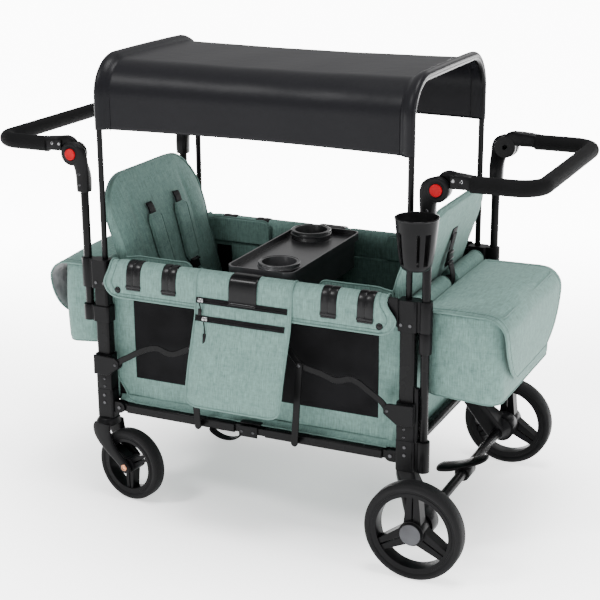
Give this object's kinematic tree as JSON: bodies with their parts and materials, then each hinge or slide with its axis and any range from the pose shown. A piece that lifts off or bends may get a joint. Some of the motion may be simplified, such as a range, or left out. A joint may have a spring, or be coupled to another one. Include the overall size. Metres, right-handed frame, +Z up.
{
  "type": "stroller wagon",
  "caption": "Folding push wagon for children: fabric tub with facing seats, canopy on hoops, swinging handles, bags, swivel casters and braked rear wheels.",
  "frame": {"origin": "on the floor, under the middle of the wagon between its posts and between its rear wheels", "axes": "+X to the rear end with the braked wheels, +Y to the right-hand side, +Z up"},
  "size_m": [1.282, 0.698, 1.0131],
  "materials": {
    "black_frame": "satin black powder coat",
    "black_plastic": "fine-grained black moulding",
    "screw_steel": "plain steel",
    "grip_foam": "soft foam",
    "red_button": "red moulding",
    "sage_fabric": "heathered sage weave",
    "floor_board": "dark covered board",
    "tray_plastic": "fine-grained charcoal moulding",
    "canopy_fabric": "charcoal weave",
    "wheel_plastic": "black moulding",
    "tyre_rubber": "black tread"
  },
  "bodies": {
    "front_end": {"front_frame_tubes": "black_frame", "front_upper_brackets": "black_plastic", "front_lower_brackets": "black_plastic", "front_fasteners": "screw_steel", "front_handle_housings": "black_plastic", "front_end_panel": "sage_fabric", "front_seat_pad": "sage_fabric", "front_bag": "sage_fabric", "tub_fabric": "sage_fabric", "rail_covers": "sage_fabric"},
    "rear_end": {"rear_frame_tubes": "black_frame", "rear_upper_brackets": "black_plastic", "rear_lower_brackets": "black_plastic", "rear_fasteners": "screw_steel", "rear_handle_housings": "black_plastic", "rear_end_panel": "sage_fabric", "rear_seat_pad": "sage_fabric", "rear_bag": "sage_fabric", "rear_legs": "black_plastic", "rear_axle": "black_frame", "cup_holder": "black_plastic"},
    "middle": {"rail_hubs": "black_plastic", "side_pocket": "sage_fabric"},
    "tray": {"tray": "tray_plastic"},
    "brake": {"brake_pedal": "black_plastic"},
    "front_canopy": {"front_bow": "black_frame", "canopy": "canopy_fabric"},
    "rear_canopy": {"rear_bow": "black_frame"},
    "front_top_rails": {"front_top_rails": "black_frame"},
    "front_bottom_rails": {"front_bottom_rails": "black_frame", "front_floor_board": "floor_board"},
    "front_braces": {"front_braces": "black_frame"},
    "front_links": {"front_links": "black_frame"},
    "front_handle": {"front_handle_bar": "black_frame", "front_handle_grip": "grip_foam"},
    "front_left_button": {"front_left_button": "red_button"},
    "front_right_button": {"front_right_button": "red_button"},
    "front_seat_back": {"front_seat_back": "sage_fabric"},
    "front_bag_flap": {"front_bag_flap": "sage_fabric"},
    "rear_top_rails": {"rear_top_rails": "black_frame"},
    "rear_bottom_rails": {"rear_bottom_rails": "black_frame", "rear_floor_board": "floor_board"},
    "rear_braces": {"rear_braces": "black_frame"},
    "rear_links": {"rear_links": "black_frame"},
    "rear_handle": {"rear_handle_bar": "black_frame", "rear_handle_grip": "grip_foam"},
    "rear_left_button": {"rear_left_button": "red_button"},
    "rear_right_button": {"rear_right_button": "red_button"},
    "rear_seat_back": {"rear_seat_back": "sage_fabric"},
    "rear_bag_flap": {"rear_bag_flap": "sage_fabric"},
    "left_caster": {"left_caster_fork": "black_plastic"},
    "left_front_wheel": {"left_front_rim": "wheel_plastic", "left_front_tyre": "tyre_rubber"},
    "left_rear_wheel": {"left_rear_rim": "wheel_plastic", "left_rear_tyre": "tyre_rubber"},
    "right_caster": {"right_caster_fork": "black_plastic"},
    "right_front_wheel": {"right_front_rim": "wheel_plastic", "right_front_tyre": "tyre_rubber"},
    "right_rear_wheel": {"right_rear_rim": "wheel_plastic", "right_rear_tyre": "tyre_rubber"}
  },
  "joints": [
    {"name": "fold", "type": "hinge", "parent": "front_end", "child": "front_top_rails", "pos_m": [-0.332, 0, 0.543], "axis": [0, -1, 0], "range_deg": [0, 66], "deforming": ["tub_fabric", "rail_covers", "front_seat_pad", "rear_seat_pad", "canopy"]},
    {"name": "rear_top_fold", "type": "hinge", "parent": "front_top_rails", "child": "rear_top_rails", "pos_m": [0, 0, 0.543], "axis": [0, -1, 0], "range_deg": [-132, 0]},
    {"name": "rear_end_fold", "type": "hinge", "parent": "rear_top_rails", "child": "rear_end", "pos_m": [0.332, 0, 0.543], "axis": [0, -1, 0], "range_deg": [0, 66]},
    {"name": "middle_fold", "type": "hinge", "parent": "front_top_rails", "child": "middle", "pos_m": [0, 0, 0.543], "axis": [0, -1, 0], "range_deg": [-66, 0]},
    {"name": "front_bottom_fold", "type": "hinge", "parent": "front_end", "child": "front_bottom_rails", "pos_m": [-0.332, 0, 0.217], "axis": [0, -1, 0], "range_deg": [0, 66]},
    {"name": "rear_bottom_fold", "type": "hinge", "parent": "rear_end", "child": "rear_bottom_rails", "pos_m": [0.332, 0, 0.217], "axis": [0, -1, 0], "range_deg": [-66, 0]},
    {"name": "front_brace_fold", "type": "hinge", "parent": "front_end", "child": "front_braces", "pos_m": [-0.33, 0, 0.324], "axis": [0, -1, 0], "range_deg": [0, 40.13]},
    {"name": "rear_brace_fold", "type": "hinge", "parent": "rear_end", "child": "rear_braces", "pos_m": [0.33, 0, 0.324], "axis": [0, -1, 0], "range_deg": [-40.13, 0]},
    {"name": "front_link_fold", "type": "hinge", "parent": "front_braces", "child": "front_links", "pos_m": [-0.13, 0, 0.395], "axis": [0, -1, 0], "range_deg": [-56.17, 0]},
    {"name": "rear_link_fold", "type": "hinge", "parent": "rear_braces", "child": "rear_links", "pos_m": [0.13, 0, 0.395], "axis": [0, -1, 0], "range_deg": [0, 56.17]},
    {"name": "tray_lift", "type": "slide", "parent": "middle", "child": "tray", "axis": [0, 0, 1], "range_m": [0, 0.15]},
    {"name": "front_handle_swing", "type": "hinge", "parent": "front_end", "child": "front_handle", "pos_m": [-0.423, 0, 0.8], "axis": [0, 1, 0], "range_deg": [-80, 75]},
    {"name": "front_left_press", "type": "slide", "parent": "front_end", "child": "front_left_button", "axis": [0, 1, 0], "range_m": [0, 0.004], "stiffness_N_per_m": 800},
    {"name": "front_right_press", "type": "slide", "parent": "front_end", "child": "front_right_button", "axis": [0, -1, 0], "range_m": [0, 0.004], "stiffness_N_per_m": 800},
    {"name": "front_recline", "type": "hinge", "parent": "front_end", "child": "front_seat_back", "pos_m": [-0.274, 0, 0.345], "axis": [0, -1, 0], "range_deg": [-25, 0]},
    {"name": "front_flap_open", "type": "hinge", "parent": "front_end", "child": "front_bag_flap", "pos_m": [-0.3905, 0, 0.5455], "axis": [0, 1, 0], "range_deg": [0, 75]},
    {"name": "rear_handle_swing", "type": "hinge", "parent": "rear_end", "child": "rear_handle", "pos_m": [0.423, 0, 0.8], "axis": [0, -1, 0], "range_deg": [-80, 75]},
    {"name": "rear_left_press", "type": "slide", "parent": "rear_end", "child": "rear_left_button", "axis": [0, 1, 0], "range_m": [0, 0.004], "stiffness_N_per_m": 800},
    {"name": "rear_right_press", "type": "slide", "parent": "rear_end", "child": "rear_right_button", "axis": [0, -1, 0], "range_m": [0, 0.004], "stiffness_N_per_m": 800},
    {"name": "rear_recline", "type": "hinge", "parent": "rear_end", "child": "rear_seat_back", "pos_m": [0.274, 0, 0.345], "axis": [0, 1, 0], "range_deg": [-25, 0]},
    {"name": "rear_flap_open", "type": "hinge", "parent": "rear_end", "child": "rear_bag_flap", "pos_m": [0.3905, 0, 0.5455], "axis": [0, -1, 0], "range_deg": [0, 75]},
    {"name": "canopy_lift", "type": "slide", "parent": "front_end", "child": "front_canopy", "axis": [0, 0, 1], "range_m": [0, 0.07]},
    {"name": "rear_canopy_lift", "type": "slide", "parent": "rear_end", "child": "rear_canopy", "axis": [0, 0, 1], "range_m": [0, 0.07]},
    {"name": "left_caster_swivel", "type": "hinge", "parent": "front_end", "child": "left_caster", "pos_m": [-0.366, -0.222, 0.17], "axis": [0, 0, 1], "continuous": true},
    {"name": "left_front_spin", "type": "hinge", "parent": "left_caster", "child": "left_front_wheel", "pos_m": [-0.30361, -0.23077, 0.084], "axis": [0.1392, 0.9903, 0], "continuous": true},
    {"name": "left_rear_spin", "type": "hinge", "parent": "rear_end", "child": "left_rear_wheel", "pos_m": [0.423, -0.323, 0.106], "axis": [0, 1, 0], "continuous": true},
    {"name": "right_caster_swivel", "type": "hinge", "parent": "front_end", "child": "right_caster", "pos_m": [-0.366, 0.222, 0.17], "axis": [0, 0, 1], "continuous": true},
    {"name": "right_front_spin", "type": "hinge", "parent": "right_caster", "child": "right_front_wheel", "pos_m": [-0.30361, 0.21323, 0.084], "axis": [0.1392, 0.9903, 0], "continuous": true},
    {"name": "right_rear_spin", "type": "hinge", "parent": "rear_end", "child": "right_rear_wheel", "pos_m": [0.423, 0.323, 0.106], "axis": [0, 1, 0], "continuous": true},
    {"name": "brake_rock", "type": "hinge", "parent": "rear_end", "child": "brake", "pos_m": [0.423, 0, 0.106], "axis": [0, 1, 0], "range_deg": [-12, 12]}
  ],
  "couplings": [
    {"joint": "rear_top_fold", "follows": "fold", "ratio": -2},
    {"joint": "rear_end_fold", "follows": "fold", "ratio": 1},
    {"joint": "middle_fold", "follows": "fold", "ratio": -1},
    {"joint": "front_bottom_fold", "follows": "fold", "ratio": 1},
    {"joint": "rear_bottom_fold", "follows": "fold", "ratio": -1},
    {"joint": "front_brace_fold", "follows": "fold", "ratio": 0.608},
    {"joint": "rear_brace_fold", "follows": "fold", "ratio": -0.608},
    {"joint": "front_link_fold", "follows": "fold", "ratio": -0.851},
    {"joint": "rear_link_fold", "follows": "fold", "ratio": 0.851},
    {"joint": "rear_canopy_lift", "follows": "canopy_lift", "ratio": 1}
  ]
}
